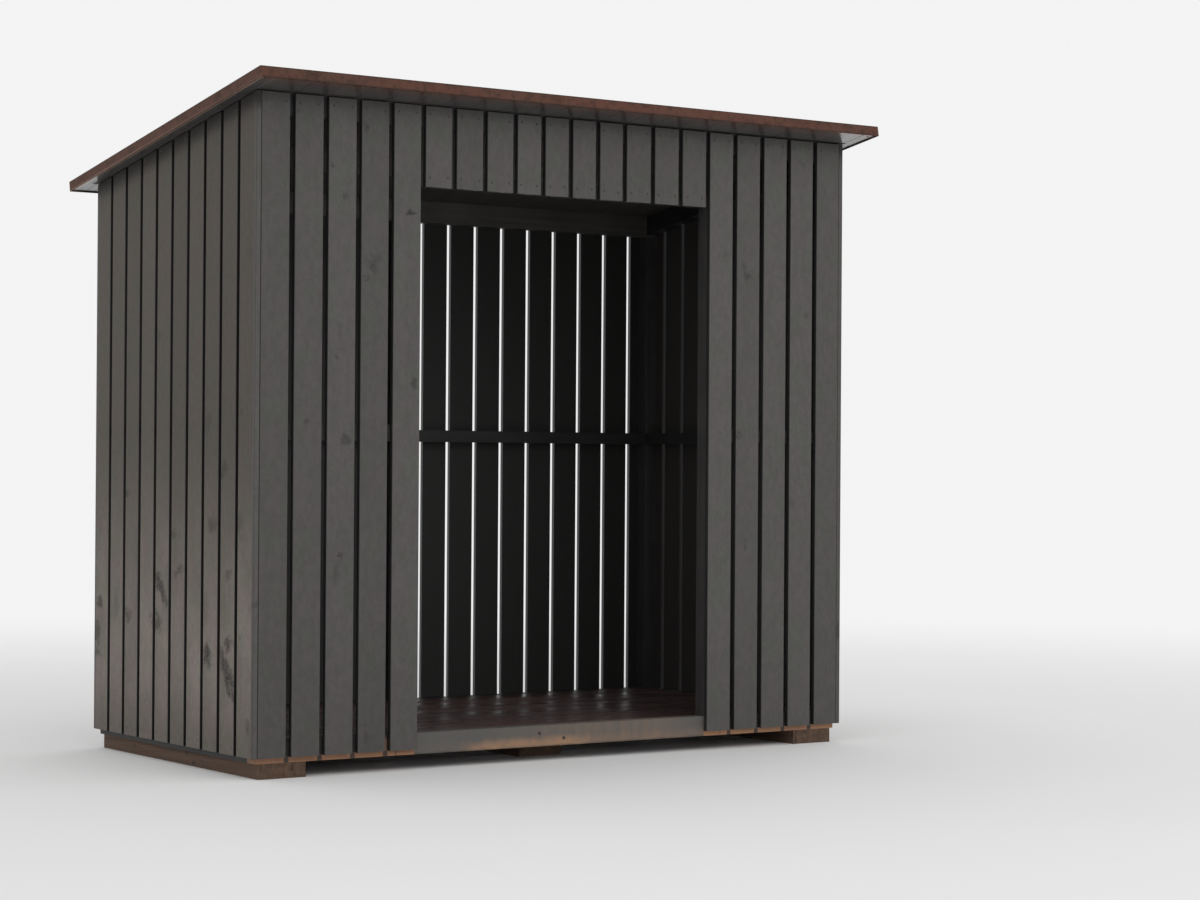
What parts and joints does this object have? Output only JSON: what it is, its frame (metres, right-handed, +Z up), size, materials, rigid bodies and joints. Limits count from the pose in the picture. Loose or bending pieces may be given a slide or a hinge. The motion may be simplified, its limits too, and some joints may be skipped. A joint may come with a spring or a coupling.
{
  "type": "slatted log store",
  "caption": "Open-fronted timber log store with spaced vertical board walls, a doorway, a plank floor and a single-slope roof.",
  "frame": {"origin": "on the ground under the bearers, at the middle of the roof's outline seen from above", "axes": "+X to the right seen from the front, +Y from the front to the back, +Z up"},
  "size_m": [2.512, 1.4534, 2.2434],
  "materials": {
    "painted_boards": "satin dark grey paint, slightly weathered",
    "painted_frame": "satin dark grey paint",
    "floor_timber": "bare dark brown timber",
    "bearer_timber": "bare weathered brown timber",
    "deck_timber": "gloss dark grey paint",
    "edge_trim": "red-brown coated steel edging",
    "roof_sheet": "matt dark roofing sheet"
  },
  "bodies": {
    "root": {"front_left_post": "painted_frame", "front_right_post": "painted_frame", "door_left_post": "painted_frame", "door_right_post": "painted_frame", "back_left_post": "painted_frame", "back_right_post": "painted_frame", "back_middle_post": "painted_frame", "front_top_rail": "painted_frame", "back_top_rail": "painted_frame", "left_top_rail": "painted_frame", "right_top_rail": "painted_frame", "roof_purlin": "painted_frame", "door_lintel": "painted_frame", "front_left_mid_rail": "painted_frame", "front_right_mid_rail": "painted_frame", "left_mid_rail": "painted_frame", "right_mid_rail": "painted_frame", "back_left_mid_rail": "painted_frame", "back_right_mid_rail": "painted_frame", "front_sill": "painted_frame", "back_rim": "painted_frame", "left_rim": "painted_frame", "right_rim": "painted_frame", "front_left_boards": "painted_boards", "front_right_boards": "painted_boards", "over_door_boards": "painted_boards", "left_wall_boards": "painted_boards", "right_wall_boards": "painted_boards", "back_wall_boards": "painted_boards", "floor_joists": "floor_timber", "floor_boards": "floor_timber", "bearer_left": "bearer_timber", "bearer_middle": "bearer_timber", "bearer_right": "bearer_timber", "roof_deck": "deck_timber", "left_verge_board": "deck_timber", "right_verge_board": "deck_timber", "roof_sheet": "roof_sheet", "front_edge_trim": "edge_trim", "back_edge_trim": "edge_trim", "left_edge_trim": "edge_trim", "right_edge_trim": "edge_trim"}
  },
  "joints": []
}
